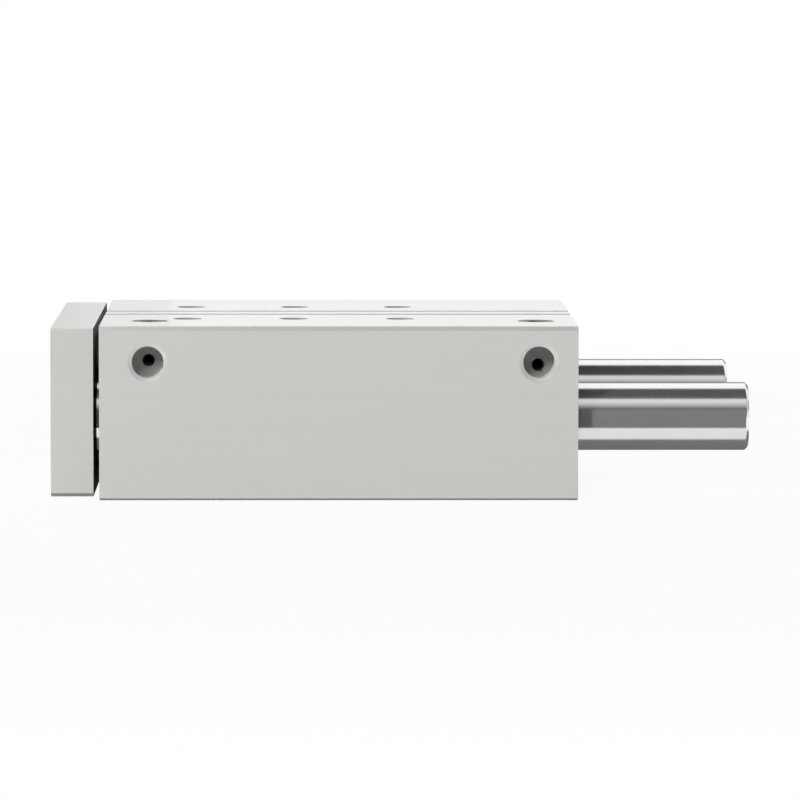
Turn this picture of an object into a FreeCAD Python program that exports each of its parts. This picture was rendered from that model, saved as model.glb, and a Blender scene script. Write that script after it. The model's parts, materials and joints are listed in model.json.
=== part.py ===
"""Guided pneumatic cylinder: block housing, piston drive and two guide rods on one yoke plate.

Millimetres. X runs along the rods from the yoke plate to the rear, Y from the port side to the far side,
Z up. The origin is the middle of the housing's underside. The plate is drawn in.
"""
import FreeCAD, Part
import os
import Sketcher
from types import SimpleNamespace

# Sizes that can be set one by one
SIZES = {
    # Drive
    "stroke": 100.0,
    "end_gap": 0.05,
    "bore_dia": 32.0,
    "base_wall": 7.5,
    "top_wall": 11.5,
    # Housing block
    "top_chamfer": 1.2,
    "base_chamfer": 0.7,
    "web": 14.5,
    "side_wall": 2.5,
    "mouth_chamfer": 0.5,
    "slot_spacing": 12.5,
    "slot_mouth": 5.0,
    "slot_undercut": 0.8,
    "slot_lip": 1.6,
    "slot_depth": 4.7,
    # Seats of the two caps and their retaining rings
    "cap_step": 1.5,
    "cap_play": 0.05,
    "collar_seat_depth": 15.0,
    "head_seat_depth": 11.0,
    "ring_groove_depth": 1.0,
    "ring_play": 0.1,
    "ring_thickness": 1.5,
    "ring_width": 2.8,
    "ring_gap": 3.2,
    "lug_dia": 4.8,
    "lug_hole_dia": 2.2,
    "collar_ring_inset": 2.0,
    "head_ring_inset": 1.6,
    # Caps
    "gasket_width": 2.4,
    "gasket_depth": 1.6,
    "collar_gasket_inset": 2.4,
    "head_gasket_inset": 1.4,
    "air_groove_width": 2.2,
    "air_groove_depth": 2.5,
    "air_notch_width": 3.0,
    "end_flange": 0.8,
    "cover_recess_dia": 20.0,
    "cover_recess_depth": 2.5,
    # Guide rods and their bearings
    "guide_rod_dia": 20.0,
    "guide_overhang": 50.5,
    "guide_tip_chamfer": 1.2,
    "rod_lead_chamfer": 0.5,
    "running_play": 0.04,
    "bush_wall": 1.46,
    "bush_length": 25.0,
    "bush_reach": 90.0,
    "wiper_step": 1.0,
    "wiper_depth": 4.0,
    "wiper_lip": 1.2,
    "guide_rear_play": 0.5,
    # Piston rod and its bearing
    "piston_rod_dia": 16.0,
    "rod_hole_play": 0.3,
    "rod_bush_wall": 1.0,
    "rod_bush_length": 5.6,
    "rod_seal_width": 4.0,
    "rod_seal_section": 3.0,
    "rod_seal_inset": 1.0,
    "spigot_dia": 10.0,
    "spigot_length": 4.5,
    # Piston
    "piston_length": 11.9,
    "piston_play": 0.15,
    "seal_play": 0.05,
    "seal_width": 2.4,
    "seal_depth": 2.9,
    "seal_inset": 0.9,
    "magnet_width": 3.2,
    "magnet_section": 2.4,
    "guide_band": 1.7,
    "band_slit": 0.8,
    "bumper_inner_dia": 19.0,
    "bumper_section": 3.0,
    "bumper_sink": 1.0,
    "bumper_proud": 1.0,
    # Yoke plate
    "plate_gap": 1.7,
    "plate_thickness": 12.5,
    "plate_side_inset": 1.0,
    "plate_base_inset": 1.0,
    "plate_top_inset": 0.7,
    "plate_chamfer": 1.1,
    "rod_recess": 2.0,
    "load_spacing_y": 48.0,
    "load_spacing_z": 28.0,
    "load_thread_core": 6.8,
    # Screws of the plate and of the piston
    "plate_screw_dia": 8.0,
    "plate_screw_length": 20.0,
    "plate_head_dia": 13.0,
    "plate_head_height": 5.0,
    "plate_hex": 5.0,
    "plate_hex_depth": 3.0,
    "piston_screw_dia": 6.0,
    "piston_screw_length": 12.0,
    "piston_head_dia": 10.0,
    "piston_head_height": 4.0,
    "piston_hex": 4.0,
    "piston_hex_depth": 2.2,
    "head_sink": 0.4,
    "head_chamfer": 0.6,
    "head_play": 0.5,
    "shank_play": 0.5,
    "thread_runout": 3.0,
    # Ports and air passages
    "front_port_offset": 14.2,
    "rear_port_offset": 11.5,
    "port_below_seat": 0.5,
    "port_core": 9.2,
    "port_depth": 8.0,
    "port_countersink": 1.2,
    "port_countersink_depth": 0.5,
    "passage_dia": 3.6,
    "front_passage_drop": 0.1,
    "rear_passage_drop": 1.45,
    "top_port_inset": 23.5,
    "plug_sink": 0.15,
    "plug_length": 6.5,
    "plug_chamfer": 0.5,
    "plug_hex": 5.0,
    "plug_hex_depth": 4.0,
    # Mounting holes
    "mount_first": 25.3,
    "mount_pitch": 31.6,
    "mount_row_inset": 8.4,
    "mount_core": 6.8,
    "mount_recess_dia": 8.5,
    "mount_recess_depth": 2.1,
    "rear_thread_core": 5.0,
    "rear_thread_depth": 14.0,
    "rear_thread_row_inset": 9.0,
    "rear_thread_base": 9.0,
    "rear_thread_rise": 24.0,
}
DRILL_TIP = 0.6  # height of a drill point over the hole's radius
LIP_BEVEL = 0.25  # height of a seal lip's bevel over the seal's section
LIP_EDGES = (0.35, 0.65)  # where a seal's lip starts and ends over the seal's width
EYE_ASIDE = 0.45  # distance of a retaining ring's eye from the gap over the lug's diameter
EYE_RISE = 0.2  # distance of the eye outside the ring's inner edge over the lug's diameter
SQRT3 = 3 ** 0.5


class Size:
    """A length and its expression in the sheet, so that every sum of sizes stays tied to the sheet."""

    def __init__(self, text, value):
        self.text = text
        self.value = value

    def __add__(self, other):
        other = as_size(other)
        return Size("(%s + %s)" % (self.text, other.text), self.value + other.value)

    def __sub__(self, other):
        other = as_size(other)
        return Size("(%s - %s)" % (self.text, other.text), self.value - other.value)

    def __mul__(self, other):
        other = as_size(other)
        return Size("(%s * %s)" % (self.text, other.text), self.value * other.value)

    def __truediv__(self, other):
        other = as_size(other)
        return Size("(%s / %s)" % (self.text, other.text), self.value / other.value)

    def __neg__(self):
        return Size("(-1 * %s)" % self.text, -self.value)

    __rmul__ = __mul__


def as_size(thing):
    """A size as it is, or a plain number as a size."""
    return thing if isinstance(thing, Size) else Size(repr(thing), float(thing))


s = SimpleNamespace(**{name: Size("Sizes." + name, size) for name, size in SIZES.items()})

# Sizes that follow from the ones above
housing_length = (s.stroke + 2 * s.end_gap + s.collar_seat_depth + s.head_seat_depth
                  + s.piston_length + 2 * s.bumper_proud)
front_face = -housing_length / 2
rear_face = housing_length / 2
bore_r = s.bore_dia / 2
axis_height = s.base_wall + bore_r
housing_height = axis_height + bore_r + s.top_wall
guide_r = s.guide_rod_dia / 2
bush_inner_r = guide_r + s.running_play
bush_outer_r = bush_inner_r + s.bush_wall
wiper_outer_r = bush_outer_r + s.wiper_step
guide_y = bore_r + s.web + bush_outer_r
near_side = -(guide_y + bush_outer_r + s.side_wall)

seat_r = bore_r + s.cap_step
cap_r = seat_r - s.cap_play
gasket_floor_r = seat_r - s.gasket_depth
air_floor_r = cap_r - s.air_groove_depth
ring_groove_r = seat_r + s.ring_groove_depth
ring_groove_width = s.ring_thickness + s.ring_play
collar_face = front_face + s.collar_ring_inset + ring_groove_width
collar_length = s.collar_seat_depth - s.collar_ring_inset - ring_groove_width
head_face = rear_face - s.head_ring_inset - ring_groove_width
head_length = s.head_seat_depth - s.head_ring_inset - ring_groove_width

plate_back = front_face - s.plate_gap
plate_front = plate_back - s.plate_thickness
plate_side = near_side + s.plate_side_inset
plate_top = housing_height - s.plate_top_inset
plate_counterbore = s.plate_head_height + s.head_sink
rod_seat = plate_back - s.rod_recess

rod_r = s.piston_rod_dia / 2
rod_hole_r = rod_r + s.rod_hole_play
rod_bush_inner_r = rod_r + s.running_play
rod_bush_outer_r = rod_bush_inner_r + s.rod_bush_wall
rod_seal_outer_r = rod_r + s.rod_seal_section
rod_thread_r = s.plate_screw_dia / 2
rod_thread_depth = (s.plate_screw_length - s.plate_thickness + plate_counterbore + s.rod_recess
                    + s.thread_runout)

piston_face = rear_face - s.head_seat_depth - s.end_gap - s.bumper_proud - s.piston_length
piston_r = bore_r - s.piston_play
piston_counterbore = s.piston_head_height + s.head_sink
seal_floor_r = piston_r - s.seal_depth
band_floor_r = piston_r - s.guide_band
magnet_floor_r = band_floor_r - s.magnet_section
bumper_inner_r = s.bumper_inner_dia / 2
bumper_outer_r = bumper_inner_r + s.bumper_section

port_r = s.port_core / 2
port_mouth_r = port_r + s.port_countersink
plug_head_r = port_mouth_r - s.port_countersink * s.plug_sink / s.port_countersink_depth
port_height = axis_height + seat_r - s.port_below_seat
top_port_y = near_side + s.top_port_inset
ENDS = (("front", front_face + s.front_port_offset, s.front_passage_drop),
        ("rear", rear_face - s.rear_port_offset, s.rear_passage_drop))
SIDES = (("near", -guide_y), ("far", guide_y))


def tie(thing, prop, size):
    """Tie a property to a size's expression; a plain zero needs no tie."""
    if isinstance(size, Size):
        thing.setExpression(prop, size.text)


def origin_part(body, role):
    """One of the body's own origin planes or axes."""
    return [part for part in body.Origin.OriginFeatures if part.Role == role][0]


def new_body(name, x=0, y=0, z=0):
    """Empty body with the node's name and place."""
    body = doc.addObject("PartDesign::Body", name)
    body.Label = name
    for axis, size in zip("xyz", (x, y, z)):
        tie(body, "Placement.Base." + axis, size)
    nodes.append(body)
    return body


def new_sketch(body, name, plane, shift=(0, 0, 0)):
    """Sketch on one of the body's origin planes, shifted along the sketch's own axes."""
    sketch = body.newObject("Sketcher::SketchObject", name)
    sketch.AttachmentSupport = [(origin_part(body, plane), "")]
    sketch.MapMode = "FlatFace"
    for axis, size in zip("xyz", shift):
        tie(sketch, "AttachmentOffset.Base." + axis, size)
    return sketch


def hold(sketch, kind, size, *where):
    """Add a dimension to a sketch and tie it to its size."""
    index = sketch.addConstraint(Sketcher.Constraint(kind, *where, as_size(size).value))
    tie(sketch, "Constraints[%d]" % index, size)


def draw_polygon(sketch, corners):
    """Closed outline, each corner held at its two distances from the sketch's origin."""
    points = [FreeCAD.Vector(as_size(a).value, as_size(b).value, 0) for a, b in corners]
    count = len(points)
    for i in range(count):
        sketch.addGeometry(Part.LineSegment(points[i], points[(i + 1) % count]), False)
    for i in range(count):
        sketch.addConstraint(Sketcher.Constraint("Coincident", i, 2, (i + 1) % count, 1))
    for i, (a, b) in enumerate(corners):
        hold(sketch, "DistanceX", a, -1, 1, i, 1)
        hold(sketch, "DistanceY", b, -1, 1, i, 1)


def draw_circle(sketch, centre, radius):
    """Circle with its centre held from the sketch's origin."""
    a, b = centre
    middle = FreeCAD.Vector(as_size(a).value, as_size(b).value, 0)
    geo = sketch.addGeometry(Part.Circle(middle, FreeCAD.Vector(0, 0, 1), radius.value), False)
    hold(sketch, "DistanceX", a, -1, 1, geo, 3)
    hold(sketch, "DistanceY", b, -1, 1, geo, 3)
    hold(sketch, "Radius", radius, geo)


def extrude(body, name, kind, sketch, length, flip=False):
    """Pad or pocket of a sketch."""
    feature = body.newObject("PartDesign::" + kind, name)
    feature.Profile = sketch
    feature.Reversed = flip
    tie(feature, "Length", length)
    return feature


def turn(body, name, kind, corners, plane="XZ_Plane", shift=(0, 0, 0), axis="H_Axis"):
    """Revolution or groove of a polygon about one of the sketch's axes."""
    sketch = new_sketch(body, name + "_sketch", plane, shift)
    draw_polygon(sketch, corners)
    feature = body.newObject("PartDesign::" + kind, name)
    feature.Profile = sketch
    feature.ReferenceAxis = (sketch, [axis])
    feature.Angle = 360
    return feature


def pocket_round(body, name, plane, shift, centres, radius, depth, flip=False):
    """Flat-bottomed round pockets."""
    sketch = new_sketch(body, name + "_sketch", plane, shift)
    for centre in centres:
        draw_circle(sketch, centre, radius)
    return extrude(body, name, "Pocket", sketch, depth, flip)


def drill(body, name, plane, shift, centres, diameter, depth=None, counterbore=None, flip=False):
    """Drilled holes: through without a depth, with a counterbore's diameter and depth if given."""
    sketch = new_sketch(body, name + "_sketch", plane, shift)
    for centre in centres:
        draw_circle(sketch, centre, diameter / 2)
    doc.recompute()
    hole = body.newObject("PartDesign::Hole", name)
    hole.Profile = sketch
    hole.Reversed = flip
    hole.ThreadType = "None"
    tie(hole, "Diameter", diameter)
    if depth is None:
        hole.DepthType = "ThroughAll"
    else:
        hole.DepthType = "Dimension"
        hole.DrillPoint = "Angled"
        tie(hole, "Depth", depth)
    if counterbore:
        hole.HoleCutType = "Counterbore"
        hole.HoleCutCustomValues = True
        tie(hole, "HoleCutDiameter", counterbore[0])
        tie(hole, "HoleCutDepth", counterbore[1])
    return hole


def rectangle(left, right, low, high):
    """Corners of an upright rectangle."""
    return [(left, low), (right, low), (right, high), (left, high)]


def hexagon(across_flats):
    """Corners of a hexagon about the sketch's origin."""
    half = across_flats / 2
    low = half / SQRT3
    tip = across_flats / SQRT3
    return [(0, -tip), (half, -low), (half, low), (0, tip), (-half, low), (-half, -low)]


def lip_section(back, lip, width):
    """Corners of a seal's section: full at the back, a bevelled lip at the running face."""
    edge = lip + (back - lip) * LIP_BEVEL
    start, end = LIP_EDGES
    return [(0, edge), (0, back), (width, back), (width, edge), (width * end, lip), (width * start, lip)]


def slot_outline(middle):
    """Corners of a sensor slot in the housing's top, from its far edge to its near edge."""
    top = housing_height
    lip = top - s.slot_lip
    floor = top - s.slot_depth
    mouth = s.slot_mouth / 2
    wide = mouth + s.slot_undercut
    return [(middle + mouth, top), (middle + mouth, lip), (middle + wide, lip), (middle + wide, floor),
            (middle - wide, floor), (middle - wide, lip), (middle - mouth, lip), (middle - mouth, top)]


def make_housing():
    """Extruded block with its bores, slots, ports, passages and holes."""
    body = new_body("housing")
    top = housing_height
    far_side = -near_side
    sketch = new_sketch(body, "profile", "YZ_Plane")
    draw_polygon(sketch, [
        (near_side + s.base_chamfer, 0), (far_side - s.base_chamfer, 0), (far_side, s.base_chamfer),
        (far_side, top - s.top_chamfer), (far_side - s.top_chamfer, top)]
        + slot_outline(s.slot_spacing / 2) + slot_outline(-s.slot_spacing / 2) + [
        (near_side + s.top_chamfer, top), (near_side, top - s.top_chamfer), (near_side, s.base_chamfer)])
    block = extrude(body, "block", "Pad", sketch, housing_length)
    block.SideType = "Symmetric"

    # Cylinder bore with a stepped seat and a ring groove at each end
    collar_stop = front_face + s.collar_seat_depth
    head_stop = rear_face - s.head_seat_depth
    front_groove = front_face + s.collar_ring_inset
    rear_groove = rear_face - s.head_ring_inset
    seat_mouth_r = seat_r + s.mouth_chamfer
    turn(body, "cylinder_bore", "Groove", [
        (front_face, 0), (front_face, seat_mouth_r), (front_face + s.mouth_chamfer, seat_r),
        (front_groove, seat_r), (front_groove, ring_groove_r),
        (collar_face, ring_groove_r), (collar_face, seat_r),
        (collar_stop, seat_r), (collar_stop, bore_r), (head_stop, bore_r), (head_stop, seat_r),
        (head_face, seat_r), (head_face, ring_groove_r),
        (rear_groove, ring_groove_r), (rear_groove, seat_r),
        (rear_face - s.mouth_chamfer, seat_r), (rear_face, seat_mouth_r), (rear_face, 0)],
        shift=(0, axis_height, 0))

    # Guide bores: wiper seat, bush bore, clearance to the rear
    wiper_stop = front_face + s.wiper_depth
    bush_stop = front_face + s.bush_reach
    guide_clear_r = guide_r + s.guide_rear_play
    for side, y in SIDES:
        turn(body, "guide_bore_" + side, "Groove", [
            (front_face, 0), (front_face, wiper_outer_r),
            (wiper_stop, wiper_outer_r), (wiper_stop, bush_outer_r),
            (bush_stop, bush_outer_r), (bush_stop, guide_clear_r),
            (rear_face - s.mouth_chamfer, guide_clear_r), (rear_face, guide_clear_r + s.mouth_chamfer),
            (rear_face, 0)], shift=(0, axis_height, -y))

    # At each end a side port and a top port, joined to the bore by one passage
    for end, x, drop in ENDS:
        passage_height = port_height - drop
        turn(body, end + "_side_port", "Groove", [
            (0, near_side), (port_mouth_r, near_side), (port_r, near_side + s.port_countersink_depth),
            (port_r, near_side + s.port_depth), (0, near_side + s.port_depth + port_r * DRILL_TIP)],
            plane="XY_Plane", shift=(x, 0, port_height), axis="V_Axis")
        pocket_round(body, end + "_passage", "XZ_Plane", (0, 0, 0), [(x, passage_height)], s.passage_dia / 2,
                     -near_side - s.port_depth, flip=True)
        turn(body, end + "_top_port", "Groove", [
            (0, top), (port_mouth_r, top), (port_r, top - s.port_countersink_depth),
            (port_r, top - s.port_depth), (0, top - s.port_depth - port_r * DRILL_TIP)],
            shift=(x, 0, -top_port_y), axis="V_Axis")
        pocket_round(body, end + "_top_passage", "XY_Plane", (0, 0, passage_height), [(x, top_port_y)],
                     s.passage_dia / 2, top - s.port_depth - passage_height, flip=True)

    # Tapped holes in the rear face
    rows = (s.rear_thread_base, s.rear_thread_base + s.rear_thread_rise)
    column = bore_r + s.rear_thread_row_inset
    spots = [(y, z) for y in (-column, column) for z in rows]
    drill(body, "rear_threads", "YZ_Plane", (0, 0, rear_face), spots, s.rear_thread_core, s.rear_thread_depth)

    # Mounting holes, recessed on top for centring sleeves
    first = front_face + s.mount_first
    row = bore_r + s.mount_row_inset
    spots = [(first, -row), (first, row)]
    recess = (s.mount_recess_dia, s.mount_recess_depth)
    holes = drill(body, "mount_holes", "XY_Plane", (0, 0, top), spots, s.mount_core, counterbore=recess)
    pattern = body.newObject("PartDesign::LinearPattern", "mount_rows")
    pattern.Originals = [holes]
    pattern.Direction = (origin_part(body, "X_Axis"), [""])
    pattern.Mode = "Spacing"
    pattern.Occurrences = 3
    tie(pattern, "Offset", s.mount_pitch)
    body.Tip = pattern


def cut_air_notches(body, face, flip):
    """Four notches through a cap's end flange, from the air groove to the bore."""
    half = s.air_notch_width / 2
    sketch = new_sketch(body, "notch_sketch", "YZ_Plane", (0, 0, face))
    draw_polygon(sketch, rectangle(-half, half, air_floor_r, seat_r))
    notch = extrude(body, "air_notch", "Pocket", sketch, s.end_flange, flip)
    ring = body.newObject("PartDesign::PolarPattern", "air_notches")
    ring.Originals = [notch]
    ring.Axis = (origin_part(body, "X_Axis"), [""])
    ring.Angle = 360
    ring.Occurrences = 4
    body.Tip = ring


def make_ring(name, x, y, inner, outer, length):
    """Plain ring about an axis parallel to X."""
    body = new_body(name, x, y, axis_height)
    turn(body, "ring", "Revolution", rectangle(0, length, inner, outer))
    return body


def make_collar():
    """Bearing cap at the plate end, with its bush, lip seal and gasket."""
    body = new_body("rod_collar", collar_face, 0, axis_height)
    gasket = s.collar_gasket_inset
    gasket_end = gasket + s.gasket_width
    groove_end = collar_length - s.end_flange
    groove = groove_end - s.air_groove_width
    bush = collar_length - s.rod_bush_length
    seal = s.rod_seal_inset
    seal_end = seal + s.rod_seal_width
    turn(body, "collar", "Revolution", [
        (0, rod_hole_r), (0, cap_r),
        (gasket, cap_r), (gasket, gasket_floor_r), (gasket_end, gasket_floor_r), (gasket_end, cap_r),
        (groove, cap_r), (groove, air_floor_r), (groove_end, air_floor_r), (groove_end, cap_r),
        (collar_length, cap_r), (collar_length, rod_bush_outer_r),
        (bush, rod_bush_outer_r), (bush, rod_hole_r),
        (seal_end, rod_hole_r), (seal_end, rod_seal_outer_r), (seal, rod_seal_outer_r), (seal, rod_hole_r)])
    cut_air_notches(body, collar_length, False)
    make_ring("rod_bush", collar_face + bush, 0, rod_bush_inner_r, rod_bush_outer_r, s.rod_bush_length)
    make_ring("collar_gasket", collar_face + gasket, 0, gasket_floor_r, seat_r, s.gasket_width)
    lip = new_body("rod_seal", collar_face + seal, 0, axis_height)
    turn(lip, "seal", "Revolution", lip_section(rod_seal_outer_r, rod_r + s.seal_play, s.rod_seal_width))


def make_head_cover():
    """Cap at the rear with a turned recess outside, and its gasket."""
    body = new_body("head_cover", head_face, 0, axis_height)
    gasket = -s.head_gasket_inset
    gasket_end = gasket - s.gasket_width
    groove_end = s.end_flange - head_length
    groove = groove_end + s.air_groove_width
    recess_r = s.cover_recess_dia / 2
    turn(body, "cover", "Revolution", [
        (-s.cover_recess_depth, 0), (-s.cover_recess_depth, recess_r), (0, recess_r), (0, cap_r),
        (gasket, cap_r), (gasket, gasket_floor_r), (gasket_end, gasket_floor_r), (gasket_end, cap_r),
        (groove, cap_r), (groove, air_floor_r), (groove_end, air_floor_r), (groove_end, cap_r),
        (-head_length, cap_r), (-head_length, 0)])
    cut_air_notches(body, -head_length, True)
    make_ring("head_gasket", head_face + gasket_end, 0, gasket_floor_r, seat_r, s.gasket_width)


def make_retaining_ring(name, x):
    """Internal circlip with its gap and two eyed lugs below."""
    body = new_body(name, x, 0, axis_height)
    outer_r = ring_groove_r - s.ring_play
    inner_r = outer_r - s.ring_width
    half_gap = s.ring_gap / 2
    eye_y = half_gap + s.lug_dia * EYE_ASIDE
    eye_z = s.lug_dia * EYE_RISE - inner_r
    face = (0, 0, s.ring_thickness)
    sketch = new_sketch(body, "ring_sketch", "YZ_Plane")
    draw_circle(sketch, (0, 0), outer_r)
    draw_circle(sketch, (0, 0), inner_r)
    extrude(body, "ring", "Pad", sketch, s.ring_thickness)
    for side, y in (("left", -eye_y), ("right", eye_y)):
        sketch = new_sketch(body, side + "_lug_sketch", "YZ_Plane")
        draw_circle(sketch, (y, eye_z), s.lug_dia / 2)
        extrude(body, side + "_lug", "Pad", sketch, s.ring_thickness)
    pocket_round(body, "eyes", "YZ_Plane", face, [(-eye_y, eye_z), (eye_y, eye_z)], s.lug_hole_dia / 2,
                 s.ring_thickness)
    sketch = new_sketch(body, "gap_sketch", "YZ_Plane", face)
    draw_polygon(sketch, rectangle(-half_gap, half_gap, -ring_groove_r, -rod_hole_r))
    extrude(body, "gap", "Pocket", sketch, s.ring_thickness)


def make_guides():
    """Guide rods with their bushes and wipers."""
    length = s.rod_recess + s.plate_gap + housing_length + s.guide_overhang
    rear_bush = front_face + s.bush_reach - s.bush_length
    groove_r = bush_inner_r + s.bush_wall / 2
    for side, y in SIDES:
        rod = new_body("guide_rod_" + side, rod_seat, y, axis_height)
        turn(rod, "rod", "Revolution", [
            (0, rod_thread_r), (0, guide_r - s.rod_lead_chamfer), (s.rod_lead_chamfer, guide_r),
            (length - s.guide_tip_chamfer, guide_r), (length, guide_r - s.guide_tip_chamfer), (length, 0),
            (rod_thread_depth + rod_thread_r * DRILL_TIP, 0), (rod_thread_depth, rod_thread_r)])
        for end, x in (("front", front_face + s.wiper_depth), ("rear", rear_bush)):
            make_ring("%s_bush_%s" % (end, side), x, y, bush_inner_r, bush_outer_r, s.bush_length)
        wiper = new_body("rod_wiper_" + side, front_face, y, axis_height)
        turn(wiper, "wiper", "Revolution", [
            (0, guide_r + s.seal_play), (0, bush_outer_r), (s.wiper_lip, wiper_outer_r),
            (s.wiper_depth, wiper_outer_r), (s.wiper_depth, groove_r), (s.wiper_lip, groove_r)])


def make_screw(name, x, y, family, sense):
    """Socket-head screw along X: head face at x, shank towards the sense."""
    thread_r = getattr(s, family + "_screw_dia") / 2
    head_r = getattr(s, family + "_head_dia") / 2
    head = getattr(s, family + "_head_height")
    end = head + getattr(s, family + "_screw_length")
    body = new_body(name, x, y, axis_height)
    turn(body, "screw", "Revolution", [
        (0, 0), (0, head_r - s.head_chamfer), (s.head_chamfer * sense, head_r), (head * sense, head_r),
        (head * sense, thread_r), (end * sense, thread_r), (end * sense, 0)])
    sketch = new_sketch(body, "socket_sketch", "YZ_Plane")
    draw_polygon(sketch, hexagon(getattr(s, family + "_hex")))
    extrude(body, "socket", "Pocket", sketch, getattr(s, family + "_hex_depth"), flip=sense > 0)


def make_piston_rod():
    """Rod from the yoke plate to the piston, tapped at both ends."""
    body = new_body("piston_rod", rod_seat, 0, axis_height)
    shoulder = piston_face - rod_seat
    end = shoulder + s.spigot_length
    spigot_r = s.spigot_dia / 2
    screw_r = s.piston_screw_dia / 2
    tap_end = end - (s.piston_screw_length - s.piston_length + piston_counterbore + s.spigot_length
                     + s.thread_runout)
    turn(body, "rod", "Revolution", [
        (0, rod_thread_r), (0, rod_r - s.rod_lead_chamfer), (s.rod_lead_chamfer, rod_r), (shoulder, rod_r),
        (shoulder, spigot_r), (end, spigot_r), (end, screw_r), (tap_end, screw_r),
        (tap_end - screw_r * DRILL_TIP, 0), (rod_thread_depth + rod_thread_r * DRILL_TIP, 0),
        (rod_thread_depth, rod_thread_r)])


def make_piston():
    """Two-part piston, clamped on the rod round its magnet, with its rings, bumpers and screw."""
    split = s.piston_length / 2
    band = split - s.magnet_width / 2
    band_end = split + s.magnet_width / 2
    seal_end = s.seal_inset + s.seal_width
    rear_seal = s.piston_length - seal_end
    rear_seal_end = s.piston_length - s.seal_inset
    hole_r = s.piston_screw_dia / 2 + s.shank_play
    spigot_r = s.spigot_dia / 2
    front = new_body("piston_front", piston_face, 0, axis_height)
    turn(front, "half", "Revolution", [
        (0, spigot_r), (0, bumper_inner_r), (s.bumper_sink, bumper_inner_r), (s.bumper_sink, bumper_outer_r),
        (0, bumper_outer_r), (0, piston_r), (s.seal_inset, piston_r), (s.seal_inset, seal_floor_r),
        (seal_end, seal_floor_r), (seal_end, piston_r), (band, piston_r), (band, magnet_floor_r),
        (split, magnet_floor_r), (split, hole_r), (s.spigot_length, hole_r), (s.spigot_length, spigot_r)])
    rear = new_body("piston_rear", piston_face, 0, axis_height)
    end = s.piston_length
    sink = end - s.bumper_sink
    recess = end - piston_counterbore
    recess_r = s.piston_head_dia / 2 + s.head_play
    turn(rear, "half", "Revolution", [
        (split, hole_r), (split, magnet_floor_r), (band_end, magnet_floor_r), (band_end, piston_r),
        (rear_seal, piston_r), (rear_seal, seal_floor_r),
        (rear_seal_end, seal_floor_r), (rear_seal_end, piston_r),
        (end, piston_r), (end, bumper_outer_r), (sink, bumper_outer_r), (sink, bumper_inner_r),
        (end, bumper_inner_r), (end, recess_r), (recess, recess_r), (recess, hole_r)])

    bumper = s.bumper_proud + s.bumper_sink
    make_ring("front_bumper", piston_face - s.bumper_proud, 0, bumper_inner_r, bumper_outer_r, bumper)
    make_ring("rear_bumper", piston_face + sink, 0, bumper_inner_r, bumper_outer_r, bumper)
    make_ring("piston_magnet", piston_face + band, 0, magnet_floor_r, band_floor_r, s.magnet_width)
    guide_ring = make_ring("piston_guide_ring", piston_face + band, 0, band_floor_r, bore_r - s.running_play,
                           s.magnet_width)
    half_slit = s.band_slit / 2
    sketch = new_sketch(guide_ring, "slit_sketch", "YZ_Plane")
    draw_polygon(sketch, rectangle(-half_slit, half_slit, magnet_floor_r, seat_r))
    extrude(guide_ring, "slit", "Pocket", sketch, s.magnet_width, flip=True)
    for name, x in (("front_piston_seal", s.seal_inset), ("rear_piston_seal", rear_seal)):
        seal = new_body(name, piston_face + x, 0, axis_height)
        turn(seal, "seal", "Revolution", lip_section(seal_floor_r, bore_r - s.seal_play, s.seal_width))
    make_screw("piston_screw", piston_face + end - s.head_sink, 0, "piston", -1)


def make_plate():
    """Yoke plate with its screw holes, rod recesses and load threads, and its three screws."""
    body = new_body("yoke_plate", plate_back)
    low = s.plate_base_inset
    cut = s.plate_chamfer
    sketch = new_sketch(body, "profile", "YZ_Plane")
    draw_polygon(sketch, [
        (plate_side + cut, low), (-plate_side - cut, low), (-plate_side, low + cut),
        (-plate_side, plate_top - cut), (-plate_side - cut, plate_top), (plate_side + cut, plate_top),
        (plate_side, plate_top - cut), (plate_side, low + cut)])
    extrude(body, "plate", "Pad", sketch, s.plate_thickness, flip=True)
    front = (0, 0, -s.plate_thickness)
    guides = [(y, axis_height) for _, y in SIDES]
    middle = [(0, axis_height)]
    counterbore = (s.plate_head_dia + 2 * s.head_play, plate_counterbore)
    drill(body, "screw_holes", "YZ_Plane", front, guides + middle, s.plate_screw_dia + 2 * s.shank_play,
          counterbore=counterbore, flip=True)
    pocket_round(body, "guide_recesses", "YZ_Plane", (0, 0, 0), guides, guide_r, s.rod_recess)
    pocket_round(body, "rod_recess", "YZ_Plane", (0, 0, 0), middle, rod_r, s.rod_recess)
    height = (s.plate_base_inset + plate_top) / 2
    rows = (height - s.load_spacing_z / 2, height + s.load_spacing_z / 2)
    column = s.load_spacing_y / 2
    drill(body, "load_threads", "YZ_Plane", front, [(y, z) for y in (-column, column) for z in rows],
          s.load_thread_core, flip=True)
    for side, y in SIDES + (("middle", 0),):
        make_screw("plate_screw_" + side, plate_front + s.head_sink, y, "plate", 1)


def make_plugs():
    """Hexagon-socket plugs that close the two top ports, seated on the ports' countersinks."""
    for end, x, _ in ENDS:
        plug = new_body(end + "_port_plug", x, top_port_y, housing_height - s.plug_sink)
        turn(plug, "plug", "Revolution", [
            (0, 0), (plug_head_r, 0), (port_r, s.plug_sink - s.port_countersink_depth),
            (port_r, s.plug_chamfer - s.plug_length), (port_r - s.plug_chamfer, -s.plug_length),
            (0, -s.plug_length)], axis="V_Axis")
        sketch = new_sketch(plug, "socket_sketch", "XY_Plane")
        draw_polygon(sketch, hexagon(s.plug_hex))
        extrude(plug, "socket", "Pocket", sketch, s.plug_hex_depth)


doc = FreeCAD.newDocument("guided_cylinder")
sheet = doc.addObject("Spreadsheet::Sheet", "Sizes")
for row, (name, size) in enumerate(SIZES.items(), start=1):
    sheet.set("A%d" % row, name)
    sheet.set("B%d" % row, str(size))
    sheet.setAlias("B%d" % row, name)
doc.recompute()

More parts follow.
